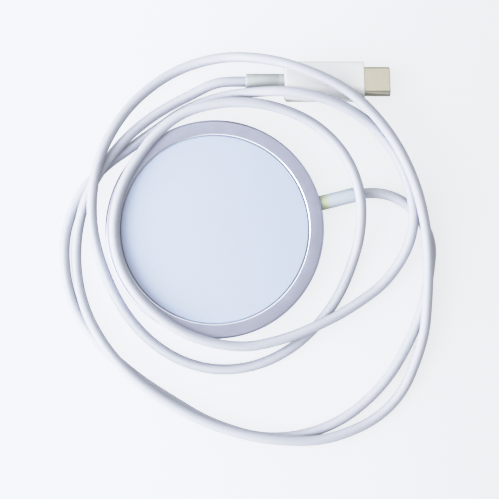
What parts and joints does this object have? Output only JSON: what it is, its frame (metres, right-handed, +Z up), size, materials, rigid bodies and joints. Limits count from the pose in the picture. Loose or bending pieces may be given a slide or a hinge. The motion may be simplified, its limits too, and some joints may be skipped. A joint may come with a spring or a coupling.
{
  "type": "magnetic charging puck with coiled cable",
  "caption": "Round magnetic wireless charging puck with an aluminium rim and a white pad, on a thin white cable coiled round it that ends in a small reversible plug.",
  "frame": {"origin": "centre of the puck's resting face, on its axis", "axes": "+Z up through the charging face; +X the way the plug points; +Y from the puck towards the plug"},
  "size_m": [0.0971, 0.1009, 0.0113],
  "materials": {
    "satin_aluminium": "satin, fine bead-blasted",
    "white_pad": "smooth matte",
    "white_cable": "soft satin",
    "white_boot": "soft satin",
    "white_housing": "glossy",
    "plug_steel": "fine brushed",
    "can_steel": "plain",
    "magnet_nickel": "nickel plate",
    "copper": "bare copper",
    "gold_contact": "gold plate",
    "braid_steel": "woven",
    "ferrite": "matte sintered",
    "board_green": "solder mask",
    "chip_black": "moulded",
    "component_tan": "fired",
    "core_black": "moulded",
    "thermal_grey": "soft",
    "seal_adhesive": "tacky",
    "wire_red": "extruded",
    "wire_black": "extruded",
    "wire_green": "extruded"
  },
  "bodies": {
    "charger": {"back_shell": "satin_aluminium", "top_rim": "satin_aluminium", "charging_pad": "white_pad", "pad_seal": "seal_adhesive", "magnet_ring": "magnet_nickel", "magnet_yoke": "can_steel", "charging_coil": "copper", "ferrite_disc": "ferrite", "shield_plate": "copper", "pairing_loop": "copper", "thermistor": "chip_black", "control_board": "board_green", "power_chips": "chip_black", "thermal_pads": "thermal_grey", "tuning_capacitors": "component_tan", "puck_boot": "white_boot", "cable_crimp": "can_steel", "cable_jacket": "white_cable", "braid_shield": "braid_steel", "power_wire": "wire_red", "ground_wire": "wire_black", "signal_wires": "wire_green"},
    "plug": {"plug_sleeve": "white_boot", "jacket_tail": "white_cable", "braid_tail": "braid_steel", "wire_tails": "wire_green", "crimp_barrel": "can_steel", "plug_housing": "white_housing", "front_collar": "white_housing", "shield_can": "can_steel", "plug_board": "board_green", "plug_chip": "chip_black", "plug_resistors": "component_tan", "plug_shell": "plug_steel", "plug_insulator": "core_black", "contact_tails": "gold_contact", "latch_bridge": "can_steel", "ground_springs": "plug_steel"},
    "left_latch": {"left_latch": "can_steel"},
    "right_latch": {"right_latch": "can_steel"},
    "upper_contacts": {"upper_contacts": "gold_contact"},
    "lower_contacts": {"lower_contacts": "gold_contact"}
  },
  "joints": [
    {"name": "plug_flex", "type": "hinge", "parent": "charger", "child": "plug", "pos_m": [0.007, 0.0379, 0.0041], "axis": [0, 0, 1], "range_deg": [-1, 20]},
    {"name": "left_latch_flex", "type": "hinge", "parent": "plug", "child": "left_latch", "pos_m": [0.0393, 0.04108, 0.00262], "axis": [0, 0.4226, 0.9063], "range_deg": [0, 2.5]},
    {"name": "right_latch_flex", "type": "hinge", "parent": "plug", "child": "right_latch", "pos_m": [0.0393, 0.03472, 0.00558], "axis": [0, -0.4226, -0.9063], "range_deg": [0, 2.5]},
    {"name": "upper_contact_flex", "type": "hinge", "parent": "plug", "child": "upper_contacts", "pos_m": [0.0389, 0.03812, 0.00457], "axis": [0, -0.9063, 0.4226], "range_deg": [0, 1.5]},
    {"name": "lower_contact_flex", "type": "hinge", "parent": "plug", "child": "lower_contacts", "pos_m": [0.0389, 0.03768, 0.00363], "axis": [0, 0.9063, -0.4226], "range_deg": [0, 1.5]}
  ]
}
